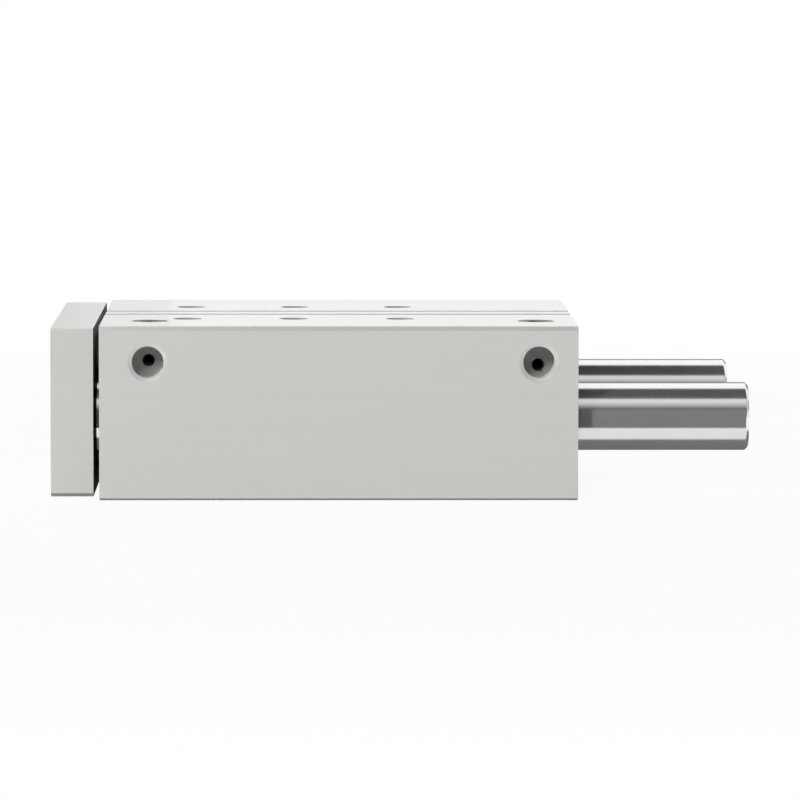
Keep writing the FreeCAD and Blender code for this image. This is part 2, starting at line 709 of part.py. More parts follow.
nodes = []
make_housing()
make_collar()
make_head_cover()
make_retaining_ring("collar_retaining_ring", collar_face - s.ring_thickness)
make_retaining_ring("head_retaining_ring", head_face)
make_guides()
make_piston_rod()
make_piston()
make_plate()
make_plugs()
doc.recompute()

for thing in doc.Objects:
    if "Invalid" in thing.State or "Error" in thing.State:
        raise RuntimeError("%s did not build" % thing.Name)
os.makedirs("parts", exist_ok=True)
for node in nodes:
    if node.Shape.isNull() or not node.Shape.isValid() or len(node.Shape.Solids) != 1:
        raise RuntimeError("%s is not one sound solid" % node.Label)
    node.Shape.exportStep("parts/%s.step" % node.Label)
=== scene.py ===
import json
import math

import bmesh
import bpy
import numpy as np
from bpy.props import FloatProperty, FloatVectorProperty, IntProperty, PointerProperty
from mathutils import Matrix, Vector

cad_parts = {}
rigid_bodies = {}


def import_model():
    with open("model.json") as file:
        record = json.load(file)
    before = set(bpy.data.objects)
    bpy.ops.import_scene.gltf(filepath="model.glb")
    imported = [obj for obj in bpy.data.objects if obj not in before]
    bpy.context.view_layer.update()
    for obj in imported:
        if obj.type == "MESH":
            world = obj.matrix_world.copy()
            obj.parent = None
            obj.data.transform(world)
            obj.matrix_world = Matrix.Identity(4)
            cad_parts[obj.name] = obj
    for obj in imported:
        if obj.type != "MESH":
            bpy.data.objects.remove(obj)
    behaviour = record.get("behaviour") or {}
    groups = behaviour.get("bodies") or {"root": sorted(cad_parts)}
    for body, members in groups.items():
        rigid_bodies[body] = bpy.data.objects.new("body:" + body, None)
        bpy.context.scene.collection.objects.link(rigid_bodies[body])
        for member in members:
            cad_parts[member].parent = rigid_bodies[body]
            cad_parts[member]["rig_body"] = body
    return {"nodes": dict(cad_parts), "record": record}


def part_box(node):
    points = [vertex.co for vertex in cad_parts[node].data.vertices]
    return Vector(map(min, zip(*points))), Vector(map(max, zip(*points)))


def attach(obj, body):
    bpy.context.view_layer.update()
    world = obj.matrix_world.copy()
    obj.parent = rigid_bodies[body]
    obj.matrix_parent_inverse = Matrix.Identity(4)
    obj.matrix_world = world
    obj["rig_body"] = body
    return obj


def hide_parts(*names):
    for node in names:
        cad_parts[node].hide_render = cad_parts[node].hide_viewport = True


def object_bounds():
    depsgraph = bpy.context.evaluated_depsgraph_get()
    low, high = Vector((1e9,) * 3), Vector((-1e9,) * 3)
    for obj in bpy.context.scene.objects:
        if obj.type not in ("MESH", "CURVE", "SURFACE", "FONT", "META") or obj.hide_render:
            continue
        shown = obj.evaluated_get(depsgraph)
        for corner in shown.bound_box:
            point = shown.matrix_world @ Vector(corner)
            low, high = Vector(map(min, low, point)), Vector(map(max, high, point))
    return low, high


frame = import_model()
CAD_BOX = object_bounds()

bl_info = {
    "name": "Guided cylinder looks",
    "version": (1, 0, 0),
    "blender": (4, 5, 0),
    "location": "3D View > Sidebar > Guided cylinder",
    "description": "Finishes the solids of a guided pneumatic cylinder and sets a plain studio round them",
    "category": "Object",
}

MM = 0.001

# The record's slot of each CAD node, which is its imported material's name, and the mounts by name
NODE_SLOTS = {name: node.data.materials[0].name for name, node in frame["nodes"].items()}
MOUNTS = {mount["name"]: mount for mount in frame["record"]["mounts"]}

# Nodes that become pieces with small broken edges, and the names of those pieces
FITTINGS = {
    "plate_screw_near": "socket_screw_near",
    "plate_screw_middle": "socket_screw_middle",
    "plate_screw_far": "socket_screw_far",
    "front_port_plug": "socket_plug_front",
    "rear_port_plug": "socket_plug_rear",
    "collar_retaining_ring": "snap_ring_front",
    "head_retaining_ring": "snap_ring_rear",
    "head_cover": "rear_cap",
    "rod_collar": "front_cap",
}

# Reading the solids' meshes
WELD = 0.002 * MM  # corners closer than this are one
ON_WALL = 0.02 * MM  # how far a corner of a hole's wall may lie from its radius
FLAT = math.radians(0.3)  # neighbours that turn less than this are one face
SHARP = math.radians(20)  # edges that turn more than this are broken
EDGE_SEGMENTS = 2
OPENING_MARGIN = 0.2 * MM  # how far the faces of an opening may lie outside the record's box
FLOOR_REACH = 18.0 * MM  # a threaded hole's floor lies nearer to its mouth than this
RECESS_RADIUS = 4.3 * MM  # the recess on top over a mounting hole lies within this
RECESS_DEPTH = 2.2 * MM  # and is no deeper than this
MOUTH_DECIMALS = 6  # holes whose mouths agree to so many decimals of a metre are one

# Places of the other materials in a threaded piece; those of the threads and recesses are darker, painted
# shade
THREAD_SHADE_FACES = 1
SLOT_FACES = 2
RECESS_SHADE_FACES = 3

# The mounts whose holes are threaded: outer radius, pitch and threaded length from the mouth
HOUSING_THREADS = {
    "front_port": (4.864 * MM, 0.907 * MM, 6.8 * MM),
    "rear_port": (4.864 * MM, 0.907 * MM, 6.8 * MM),
    "rear_threads": (3.0 * MM, 1.0 * MM, 12.0 * MM),
    "base_holes_outer": (4.0 * MM, 1.25 * MM, 16.0 * MM),
    "base_holes_middle": (4.0 * MM, 1.25 * MM, 16.0 * MM),
}
PLATE_THREADS = {"load_threads": (4.0 * MM, 1.25 * MM, 12.5 * MM)}
THREAD_FADE = 0.6  # how many pitches a thread takes to fade in or out
THREAD_FLAT = 0.1  # share of a thread's depth that its crest and its root each lose

# The guide rods' tapped hole at the plate end, and their mesh
ROD_TAP_RADIUS = 4.0 * MM
ROD_TAP_RUNOUT = 3.0 * MM
DRILL_TIP = 0.6  # height of a drill point over the hole's radius
ROD_SIDES = 144
TIP_STEPS = 7

# Finishes
NOISE_SPAN = (0.25, 0.75)  # the part of a noise that counts as its whole
LOOKS_ALONG = 0.7  # a face looks along X where the X part of its normal is over this
ROD_SHADE_REACH = 0.8 * MM  # how far the painted shade on the rods, black where they enter the plate, reaches out of the plate
PLUG_SHADE_WIDTH = 0.8 * MM  # width of the painted shade at the edge of a plug
SHADE_BLACK = (0.02, 0.02, 0.02, 1.0)  # colour of that painted shade on the rods and at the plugs' edges
WHITE = (1.0, 1.0, 1.0, 1.0)

# Floor and backdrop, in metres
FLOOR_HALF_WIDTH = 9.0
FLOOR_FRONT = -6.0
FLOOR_BEND_START = 2.6
FLOOR_BEND = 0.9  # radius of the bend from floor to wall
FLOOR_BEND_STEPS = 13
WALL_HEIGHT = 8.2
FLOOR_DROP = 0.05 * MM  # gap between the object's lowest face and the floor
SHADOW_REACH = (0.3, 0.6)  # the object's shadow fades out on the floor between these distances
CEILING_START = 0.9  # sine of the height where the ceiling is darkest

# Cards round the rods, in metres
CARD_DROP = 0.03 * MM  # gap between the object's lowest face and the cards on the floor
TRAY_FLOOR = 0.0525  # half the width of the grey card under the rods
TRAY_PAST_END = 0.045  # how far the cards on the floor go on past the rods' ends
TRAY_WALLS = ((-0.02, 0.0435), (0.08, 0.05))  # place along Y and height of the upright cards
WALL_PAST_END = 0.02  # how far those go on past the rods' ends
SLIT_REACH = 0.08  # the pale strip of floor ends this far from the middle
NEAR_INSET = 0.5 * MM  # how far the low cards beside a rod lie inside the block or plate
NEAR_HEIGHTS = (0.018, 0.0282)
CORNER_REACH = 0.0046  # length of the dark card beside the block
CORNER_INSET = 0.03 * MM  # how far it lies inside the grey one there
DRAWN_REACH = 0.09  # how far cards go on past the plate for the drawn-out rods

# Cards farther off: profiles of (y, z) points, and spans along X, in metres
LEFT_PROFILE = ((0.3, 0.0), (0.3, 0.25))
LEFT_SPAN = (-0.5, -0.088)
END_PROFILE = ((0.3, 0.04), (0.3, 0.105))
END_SPAN = (-0.088, -0.058)
OVER_PROFILE = ((-0.25, 0.3), (0.1, 0.3))
OVER_SPAN = (-0.5, -0.095)
FRONT_REACH = 1.6  # radius of the bent card above the camera
FRONT_SPAN = (-1.5, 1.5)
FRONT_ANGLES = (math.radians(33), math.radians(55), math.radians(65))  # foot, full light and top
FRONT_STEPS = 9
RIGHT_PLACE = 1.0  # place along X of the upright card at the rods' end
RIGHT_HEIGHTS = (0.0, 0.6)
SHADE_PLACE = 0.98  # and of the grey strip before it
SHADE_HEIGHTS = (0.14, 0.36)
RIGHT_HALF_WIDTH = 0.6

# Lamps: name, place and size in metres
LAMPS = (
    ("side", (-2.8, -2.4, 1.4), (0.6, 0.6)),
    ("front", (-0.9, -2.3, 1.7), (1.6, 1.0)),
    ("top", (-0.5, 1.9, 1.9), (0.8, 2.5)),
    ("back", (-0.9, 2.2, 1.4), (1.5, 1.5)),
    ("right", (2.4, -0.5, 0.5), (1.2, 0.8)),
)
SENSOR_WIDTH = 36.0  # of the camera, in millimetres


def length_property(name, description, default):
    """Property for a length in metres."""
    return FloatProperty(name=name, description=description, default=default, unit="LENGTH")


def colour_property(name, description, default):
    """Property for a colour."""
    return FloatVectorProperty(
        name=name, description=description, default=default, subtype="COLOR", size=3, min=0, max=1)


def level_property(name, description, default):
    """Property for a level of light, where 1 is white."""
    return FloatProperty(name=name, description=description, default=default, min=0)


class CylinderSizes(bpy.types.PropertyGroup):
    """Sizes of the broken edges, the rods' ends and the thread grids."""

    block_edge: length_property(
        "Block edge", "Width of the broken edges of the housing and the plate", 0.12 * MM)
    small_edge: length_property(
        "Small edge", "Width of the broken edges of screws, plugs, rings and caps", 0.1 * MM)
    rod_tip: length_property("Rod tip", "Width of the chamfer at the free end of a guide rod", 0.85 * MM)
    tip_round: length_property("Tip rounding", "Radius of both edges of that chamfer", 0.5 * MM)
    rod_lead: length_property("Rod lead", "Width of the chamfer at the plate end of a guide rod", 0.5 * MM)
    thread_rows: IntProperty(
        name="Thread rows", description="Grid rows in one turn of a thread", default=6)


class CylinderFinishes(bpy.types.PropertyGroup):
    """Colours of the finishes."""

    aluminium: colour_property(
        "Anodised aluminium", "Colour of the housing and the plate", (0.60, 0.605, 0.58))
    slot: colour_property("Slot walls", "Colour of the walls of the sensor slots", (0.50, 0.504, 0.484))
    # The recess colour is painted shade: darker than the aluminium where the recesses over the mounting
    # holes lie in shade
    recess_shade: colour_property(
        "Recesses", "Colour of the recesses over the mounting holes", (0.35, 0.352, 0.34))
    # The thread colour is painted shade: darker than the aluminium inside the ports and holes
    thread: colour_property("Cut thread", "Colour of the drilled and threaded holes", (0.49, 0.49, 0.48))
    # The plate's back colour is painted shade: darker than the aluminium, to darken the narrow gap towards
    # the housing
    back: colour_property(
        "Milled back", "Colour of the plate's face towards the housing", (0.24, 0.24, 0.237))
    turned: colour_property("Turned aluminium", "Colour of the caps and the piston", (0.66, 0.66, 0.65))
    ground: colour_property("Ground steel", "Colour of the polished rods", (0.95, 0.95, 0.95))
    zinc: colour_property("Zinc plating", "Colour of the screws", (0.52, 0.53, 0.55))
    spring: colour_property("Spring steel", "Colour of the blackened retaining rings", (0.10, 0.10, 0.105))
    black: colour_property("Black steel", "Colour of the blackened plugs", (0.16, 0.16, 0.163))
    bronze: colour_property("Bearing bronze", "Colour of the plain bearings", (0.50, 0.34, 0.17))
    plastic: colour_property("Bearing plastic", "Colour of the piston's guide ring", (0.70, 0.65, 0.50))
    magnet: colour_property("Bonded magnet", "Colour of the ring magnet", (0.07, 0.07, 0.075))
    seal: colour_property("Seal rubber", "Colour of the seals, gaskets and wipers", (0.02, 0.02, 0.021))
    bumper: colour_property("Bumper rubber", "Colour of the end stops", (0.09, 0.09, 0.095))


class CylinderStage(bpy.types.PropertyGroup):
    """Camera, floor and light."""

    camera_place: FloatVectorProperty(
        name="Camera place", description="Where the camera stands", subtype="TRANSLATION", size=3,
        default=(-9.0 * MM, -1625.36 * MM, 169.12 * MM))
    camera_angles: FloatVectorProperty(
        name="Camera angles", description="How the camera is turned about X, Y and Z", subtype="EULER",
        size=3, default=(math.radians(84.917), math.radians(-0.0845), math.radians(-0.9727)))
    camera_lens: FloatProperty(
        name="Lens", description="Focal length of the camera", unit="CAMERA", default=242.81)
    floor_colour: colour_property("Floor", "Colour of the floor and the backdrop", (0.45, 0.45, 0.45))
    floor_glow: FloatProperty(
        name="Floor glow", description="Share of plain white that lightens the floor's shadows",
        subtype="FACTOR", min=0, max=1, default=0.95)
    room_level: level_property("Room", "Level of the dim room round the stage", 0.13)
    ceiling_level: level_property("Ceiling", "Level of the dark ceiling over the stage", 0.02)
    gap_level: level_property("Gap cards", "Level of the dark cards in the gap", 0.02)
    left_level: level_property("Left card", "Level of the card that the plate's top mirrors", 0.46)
    end_level: level_property(
        "End card", "Level of the card that the left end of the housing's top mirrors", 0.85)
    tray_level: level_property("Tray", "Level of the grey cards that the rods mirror", 0.143)
    slit_level: level_property("Slit", "Level of the pale strip of floor that the near rod mirrors", 0.76)
    corner_level: level_property(
        "Corner", "Level of the dark card that the near rod mirrors beside the block", 0.06)
    front_card: level_property(
        "Front card", "Level of the card that the rods mirror from above the camera", 0.72)
    over_card: level_property("Overhead card", "Level of the card over the left end", 1.2)
    right_card: level_property("Right card", "Level of the card that the rods' ends mirror", 0.85)
    right_shade: level_property("Right shade", "Level of the grey strip before the right card", 0.42)
    side_level: level_property("Side light", "Level of the small lamp at the front left", 0.75)
    front_level: level_property("Front fill", "Level of the large fill above the camera", 0.42)
    top_level: level_property("Top fill", "Level of the large fill over the object", 0.8)
    back_level: level_property("Back fill", "Level of the fill behind the object", 0.35)
    right_level: level_property("Right fill", "Level of the low fill at the rods' end", 0.3)


class CylinderSettings(bpy.types.PropertyGroup):
    """All that can be changed before the operators run."""

    sizes: PointerProperty(type=CylinderSizes)
    finishes: PointerProperty(type=CylinderFinishes)
    stage: PointerProperty(type=CylinderStage)


def settings():
    """The scene's own settings."""
    return bpy.context.scene.guided_cylinder


class NodeSheet:
    """A material's nodes, added and joined in short lines."""

    def __init__(self, name):
        self.material = bpy.data.materials.new(name)
        self.material.use_nodes = True
        self.tree = self.material.node_tree
        self.shader = self.tree.nodes["Principled BSDF"]
        coordinates = self.add("ShaderNodeTexCoord").outputs
        self.place = coordinates["Object"]
        self.normal = coordinates["Normal"]

    def add(self, kind, inputs=None, **choices):
        """A new node with its choices made and with its inputs set or joined."""
        node = self.tree.nodes.new(kind)
        for key, value in choices.items():
            setattr(node, key, value)
        for key, value in (inputs or {}).items():
            self.join(value, node.inputs[key])
        return node

    def join(self, value, socket):
        """Join an output to a socket, or set the socket to a plain value."""
        if isinstance(value, bpy.types.NodeSocket):
            self.tree.links.new(value, socket)
        else:
            socket.default_value = value

    def calculate(self, operation, first, second=0.0):
        """Result of a Math node on one or two values."""
        return self.add("ShaderNodeMath", {0: first, 1: second}, operation=operation).outputs[0]

    def part(self, vector, letter):
        """The X, Y or Z part of a vector."""
        return self.add("ShaderNodeSeparateXYZ", {0: vector}).outputs[letter]

    def noise(self, scale, detail=2.0):
        """Noise whose scale per metre differs along X, Y and Z."""
        mapping = self.add("ShaderNodeMapping", {"Vector": self.place, "Scale": scale})
        return self.add("ShaderNodeTexNoise", {
            "Vector": mapping.outputs["Vector"], "Scale": 1.0, "Detail": detail}).outputs["Fac"]

    def grain(self, scale, detail=3.0):
        """Noise of one scale along X, Y and Z."""
        return self.noise((scale, scale, scale), detail)

    def mapped(self, value, start, end, **choices):
        """A value carried from one range to another."""
        return self.add("ShaderNodeMapRange", {
            "Value": value, "From Min": start[0], "From Max": start[1], "To Min": end[0], "To Max": end[1]},
            **choices).outputs["Result"]

    def mix(self, share, first, second):
        """A value part of the way from the first to the second."""
        return self.add("ShaderNodeMix", {0: share, 2: first, 3: second}).outputs[0]

    def cover(self, where, under, over):
        """One colour, with another over it where a value is 1."""
        return self.add("ShaderNodeMix", {0: where, 6: under, 7: over}, data_type="RGBA").outputs[2]

    def faces_along_x(self):
        """1 on the faces that look along X and 0 on the others."""
        along = self.calculate("ABSOLUTE", self.part(self.normal, "X"))
        return self.calculate("GREATER_THAN", along, LOOKS_ALONG)

    def from_axis(self, middle, across):
        """Distance from an axis through a point; across is 0 along the axis and 1 along the other two."""
        flat = self.add("ShaderNodeMapping", {
            "Vector": self.place, "Location": [-a * b for a, b in zip(middle, across)], "Scale": across})
        length = self.add("ShaderNodeVectorMath", {0: flat.outputs["Vector"]}, operation="LENGTH")
        return length.outputs["Value"]

    def tint(self, value, colour, spread):
        """The colour, darker and lighter by a share of itself where the value is low and high."""
        ramp = self.add("ShaderNodeValToRGB", {"Fac": value})
        stops = ramp.color_ramp.elements
        for stop, position, share in zip(stops, NOISE_SPAN, (1 - spread, 1 + spread)):
            stop.color = (*[min(1.0, part * share) for part in colour], 1.0)
            stop.position = position
        return ramp.outputs["Color"]

    def relief(self, height, depth):
        """Normal of a surface with that height map, depth in metres from low to high."""
        return self.add("ShaderNodeBump", {
            "Height": height, "Distance": depth, "Strength": 1.0}).outputs["Normal"]

    def finish(self, inputs):
        """The material, with inputs of its shader set or joined."""
        for name, value in inputs.items():
            self.join(value, self.shader.inputs[name])
        return self.material

    def end_in(self, shader):
        """The material, with another shader in place of its first one."""
        self.join(shader, self.tree.nodes["Material Output"].inputs["Surface"])
        self.tree.nodes.remove(self.shader)
        return self.material


def satin_aluminium(name, colour, metallic=0.0, coat=0.0, gloss=0.1):
    """Anodised or cut aluminium: faint drawn lines along X on the long faces, milled lines on the ends."""
    sheet = NodeSheet(name)
    drawn = sheet.noise((4.0, 900.0, 900.0), detail=3.0)
    milled = sheet.noise((900.0, 5.0, 900.0), detail=3.0)
    lines = sheet.mix(sheet.faces_along_x(), drawn, milled)
    grain = sheet.grain(2600.0, detail=2.0)
    cloud = sheet.noise((18.0, 40.0, 40.0))
    return sheet.finish({
        "Base Color": sheet.tint(sheet.mix(0.5, lines, cloud), colour, spread=0.02),
        "Roughness": sheet.mapped(grain, NOISE_SPAN, (0.36, 0.46)),
        "Normal": sheet.relief(sheet.mix(0.5, lines, grain), depth=0.004 * MM),
        "Metallic": metallic,
        "Coat Weight": coat,
        "Coat Roughness": 0.2,
        "Specular IOR Level": gloss,
    })


def turned_aluminium(colour):
    """Turned face: fine rings about the cylinder's axis."""
    sheet = NodeSheet("turned_aluminium")
    low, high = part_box("head_cover")
    radius = sheet.from_axis((low + high) / 2, across=(0.0, 1.0, 1.0))
    rings = sheet.add("ShaderNodeTexNoise", {
        "W": radius, "Scale": 5000.0, "Detail": 2.0}, noise_dimensions="1D").outputs["Fac"]
    return sheet.finish({
        "Base Color": sheet.tint(rings, colour, spread=0.05),
        "Roughness": sheet.mapped(rings, NOISE_SPAN, (0.26, 0.38)),
        "Normal": sheet.relief(rings, depth=0.003 * MM),
        "Metallic": 0.9,
    })


def ground_steel(name, colour, roughness):
    """Ground and polished rod: very fine rings along its length, and painted shade: black where it enters
    the plate and a little way out into the gap.
    """
    sheet = NodeSheet(name)
    rings = sheet.noise((9000.0, 40.0, 40.0), detail=1.0)
    haze = sheet.noise((60.0, 200.0, 200.0))
    # Painted shade: the rod is black up to a little way out of the plate's back, where the gap lies in shade
    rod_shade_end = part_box("yoke_plate")[1].x + ROD_SHADE_REACH
    rod_shade = sheet.calculate("LESS_THAN", sheet.part(sheet.place, "X"), rod_shade_end)
    return sheet.finish({
        "Base Color": sheet.cover(rod_shade, sheet.tint(haze, colour, spread=0.015), SHADE_BLACK),
        "Roughness": sheet.mapped(rings, NOISE_SPAN, roughness),
        "Normal": sheet.relief(rings, depth=0.0002 * MM),
        "Metallic": 0.935,
    })


def phosphated_steel(colour):
    """Phosphated plugs: matt dark grey, a coarse crystal speckle, and painted shade as a black ring round
    each plug's axis, at its edge.
    """
    sheet = NodeSheet("black_steel")
    speckle = sheet.grain(1100.0)
    boxes = [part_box(plug) for plug in ("front_port_plug", "rear_port_plug")]
    from_axes = [sheet.from_axis((low + high) / 2, across=(1.0, 1.0, 0.0)) for low, high in boxes]
    low, high = boxes[0]
    # Painted shade: a black ring at each plug's edge, where it meets its hole
    shade_rim_start = (high.x - low.x) / 2 - PLUG_SHADE_WIDTH
    rim = sheet.calculate("GREATER_THAN", sheet.calculate("MINIMUM", *from_axes), shade_rim_start)
    return sheet.finish({
        "Base Color": sheet.cover(rim, sheet.tint(speckle, colour, spread=0.4), SHADE_BLACK),
        "Roughness": sheet.mapped(speckle, NOISE_SPAN, (0.6, 0.8)),
        "Normal": sheet.relief(speckle, depth=0.02 * MM),
        "Metallic": 0.0,
        "Specular IOR Level": 0.05,
    })


def speckled(name, colour, scale, spread, roughness, depth, metallic=0.0, detail=3.0):
    """Finish whose colour, roughness and relief follow one fine speckle."""
    sheet = NodeSheet(name)
    speckle = sheet.grain(scale, detail)
    return sheet.finish({
        "Base Color": sheet.tint(speckle, colour, spread),
        "Roughness": sheet.mapped(speckle, NOISE_SPAN, roughness),
        "Normal": sheet.relief(speckle, depth),
        "Metallic": metallic,
    })


def zinc_steel(colour):
    """Zinc plated screw: bright grey with a fine crystal speckle."""
    return speckled("zinc_steel", colour, scale=1800.0, spread=0.12, roughness=(0.24, 0.38),
                    depth=0.003 * MM, metallic=1.0)


def spring_steel(colour):
    """Blackened ring with a dull oily sheen."""
    return speckled("spring_steel", colour, scale=1500.0, spread=0.2, roughness=(0.32, 0.5),
                    depth=0.004 * MM, metallic=0.8)


def bearing_bronze(colour):
    """Sintered bronze with open pores."""
    return speckled("bearing_bronze", colour, scale=3500.0, spread=0.25, roughness=(0.35, 0.6),
                    depth=0.01 * MM, metallic=1.0, detail=4.0)


def moulded(name, colour, scale, roughness):
    """Moulded rubber or plastic with a fine matt grain."""
    return speckled(name, colour, scale, spread=0.15, roughness=roughness, depth=0.006 * MM)


def make_finishes(finishes):
    """One material for each of the record's slots, and duller ones for the plate, slots, holes and back;
    those of the holes and back are darker, painted shade.
    """
    return {
        "anodised_aluminium": satin_aluminium(
            "anodised_aluminium", finishes.aluminium, metallic=0.35, coat=1.0, gloss=0.5),
        "anodised_plate": satin_aluminium("anodised_plate", finishes.aluminium, metallic=0.35, gloss=0.5),
        "anodised_slot": satin_aluminium("anodised_slot", finishes.slot),
        # Painted shade: these three are darker copies of the aluminium for the recesses, holes and the
        # plate's back
        "recess_painted_shade": satin_aluminium("recess_painted_shade", finishes.recess_shade),
        "thread_painted_shade": satin_aluminium("thread_painted_shade", finishes.thread),
        "back_painted_shade": satin_aluminium("back_painted_shade", finishes.back),
        "turned_aluminium": turned_aluminium(finishes.turned),
        "ground_steel": ground_steel("ground_steel", finishes.ground, roughness=(0.155, 0.19)),
        "stainless_steel": ground_steel("stainless_steel", finishes.ground, roughness=(0.105, 0.14)),
        "spring_steel": spring_steel(finishes.spring),
        "black_steel": phosphated_steel(finishes.black),
        "zinc_steel": zinc_steel(finishes.zinc),
        "bearing_bronze": bearing_bronze(finishes.bronze),
        "bearing_plastic": moulded(
            "bearing_plastic", finishes.plastic, scale=1800.0, roughness=(0.43, 0.57)),
        "bonded_magnet": moulded("bonded_magnet", finishes.magnet, scale=3000.0, roughness=(0.48, 0.62)),
        "seal_rubber": moulded("seal_rubber", finishes.seal, scale=2400.0, roughness=(0.48, 0.62)),
        "bumper_rubber": moulded("bumper_rubber", finishes.bumper, scale=2000.0, roughness=(0.53, 0.67)),
    }


def finish_of(slot):
    """The finished material of a slot, made with all the others on first use."""
    found = bpy.data.materials.get("finish." + slot)
    if found:
        return found
    for name, material in make_finishes(settings().finishes).items():
        material.name = "finish." + name
    return bpy.data.materials["finish." + slot]


def hole_mouths(mount):
    """Middles of a mount's hole mouths: one, or a row or rectangle about the mount's place."""
    middle = np.array(mount["pos_m"], float)
    across, up = np.eye(3)[np.round(mount["axis"]) == 0]
    half_across = mount["dims"].get("spacing_x_mm", 0.0) * MM / 2 * across
    half_up = mount["dims"].get("spacing_y_mm", 0.0) * MM / 2 * up
    corners = [middle + i * half_across + j * half_up for i in (-1, 1) for j in (-1, 1)]
    return np.unique(np.round(corners, MOUTH_DECIMALS), axis=0)


def threaded_holes(threads):
    """Mount's name, mouth, axis and core radius of each threaded hole of a piece."""
    for name in threads:
        mount = MOUNTS[name]
        core = mount["dims"].get("hole_r_mm", mount["dims"].get("r_mm")) * MM
        for mouth in hole_mouths(mount):
            yield name, mouth, np.array(mount["axis"], float), core


def from_hole(points, mouth, axis):
    """How far each point lies along a hole's axis from its mouth, and how far from that axis."""
    along = (points - mouth) @ axis
    return along, np.linalg.norm(points - mouth - np.outer(along, axis), axis=1)


def thread_grid(rim, mouth, axis, core, outer, pitch, threaded, depth):
    """Inner thread as a grid of points, one column for each corner of the hole's rim.

    At depth d and angle a the radius is the core plus (outer - core) times a V wave of
    d / pitch - a / turn with flat crests and roots, which fades in after one plain pitch and
    out at the threaded length.
    """
    across = (rim - mouth) - np.outer((rim - mouth) @ axis, axis)
    across = across / np.linalg.norm(across, axis=1)[:, None]
    side = np.cross(axis, across[0])
    angle = np.arctan2(across @ side, across @ across[0])
    order = np.argsort(angle)
    across, angle = across[order], angle[order]
    steps = max(2, int(round(threaded / pitch * settings().sizes.thread_rows)))
    deep = np.append(np.linspace(0.0, threaded, steps + 1), depth if depth > threaded + WELD else [])
    phase = deep[:, None] / pitch - angle[None, :] / math.tau
    wave = 2 * np.abs(phase - np.floor(phase) - 0.5)
    cut = np.clip((wave - THREAD_FLAT) / (1 - 2 * THREAD_FLAT), 0.0, 1.0)
    fade = np.clip(np.minimum(deep - pitch, threaded - deep) / (THREAD_FADE * pitch), 0.0, 1.0)
    radius = core + (outer - core) * cut * fade[:, None]
    start = mouth + axis * ((rim - mouth) @ axis)[0]
    return start - deep[:, None, None] * axis + radius[:, :, None] * across[None, :, :]


def grid_faces(rows, columns, closed=True):
    """Quads of a grid of points, which may close round its columns."""
    spans = columns if closed else columns - 1
    row, column = np.meshgrid(np.arange(rows - 1), np.arange(spans), indexing="ij")
    after = (column + 1) % columns
    quads = np.stack([row * columns + column, row * columns + after,
                      (row + 1) * columns + after, (row + 1) * columns + column], axis=-1)
    return quads.reshape(-1, 4)


def new_mesh(name, points, faces):
    """Mesh of points, as rows or a grid of them, and faces."""
    mesh = bpy.data.meshes.new(name)
    mesh.from_pydata(points.reshape(-1, 3).tolist(), [], faces)
    return mesh


def new_object(data):
    """Object of the scene for a mesh, lamp or camera, with the same name."""
    thing = bpy.data.objects.new(data.name, data)
    bpy.context.scene.collection.objects.link(thing)
    return thing


def node_arrays(node):
    """Corners and triangles of a CAD node."""
    mesh = frame["nodes"][node].data
    corners = np.empty(len(mesh.vertices) * 3, np.float32)
    mesh.vertices.foreach_get("co", corners)
    triangles = np.empty(len(mesh.polygons) * 3, np.int32)
    mesh.polygons.foreach_get("vertices", triangles)
    return corners.reshape(-1, 3).astype(float), triangles.reshape(-1, 3)


def threaded_mesh(node, name, threads):
    """A CAD node's mesh with the plain walls of its threaded holes changed for thread surfaces.

    The first plain pitch at each hole's rim keeps the piece's own material.
    """
    corners, triangles = node_arrays(node)
    plain = np.ones(len(triangles), bool)
    points, rims, cuts, count = [corners], [], [], len(corners)
    for mount, mouth, axis, core in threaded_holes(threads):
        outer, pitch, threaded = threads[mount]
        along, away = from_hole(corners, mouth, axis)
        wall = (np.abs(away - core) < ON_WALL)[triangles].all(axis=1) & plain
        if not wall.any():
            raise RuntimeError(f"{mount} has no hole wall at {mouth}")
        plain &= ~wall
        used = np.unique(triangles[wall])
        top = along[used].max()
        depth = top - along[used].min()
        rim = corners[used[along[used] > top - WELD]]
        rim = rim[np.unique(np.round(rim / WELD), axis=0, return_index=True)[1]]
        grid = thread_grid(rim, mouth, axis, core, outer, pitch, min(threaded, depth), depth)
        quads = grid_faces(*grid.shape[:2]) + count
        first_pitch = settings().sizes.thread_rows * grid.shape[1]
        points.append(grid.reshape(-1, 3))
        rims += quads[:first_pitch].tolist()
        cuts += quads[first_pitch:].tolist()
        count += grid.shape[0] * grid.shape[1]
    faces = triangles[plain].tolist() + rims + cuts
    mesh = new_mesh(name, np.concatenate(points), faces)
    give_faces(mesh, np.arange(len(faces)) >= len(faces) - len(cuts), THREAD_SHADE_FACES)
    return mesh


def weld_and_mark(mesh):
    """Join the corners that share a place, make flat stretches one face and mark the edges to break."""
    work = bmesh.new()
    work.from_mesh(mesh)
    bmesh.ops.remove_doubles(work, verts=work.verts, dist=WELD)
    solid = [edge for edge in work.edges if not any(face.material_index for face in edge.link_faces)]
    bmesh.ops.dissolve_limit(work, angle_limit=FLAT, verts=[], edges=solid, delimit={"MATERIAL"})
    weight = work.edges.layers.float.new("bevel_weight_edge")
    for edge in work.edges:
        threaded = any(face.material_index for face in edge.link_faces)
        if len(edge.link_faces) == 2 and not threaded and edge.calc_face_angle() > SHARP:
            edge[weight] = 1.0
    work.to_mesh(mesh)
    work.free()


def face_middles(mesh):
    """Middles of a mesh's faces, one row each."""
    middles = np.empty(len(mesh.polygons) * 3)
    mesh.polygons.foreach_get("center", middles)
    return middles.reshape(-1, 3)


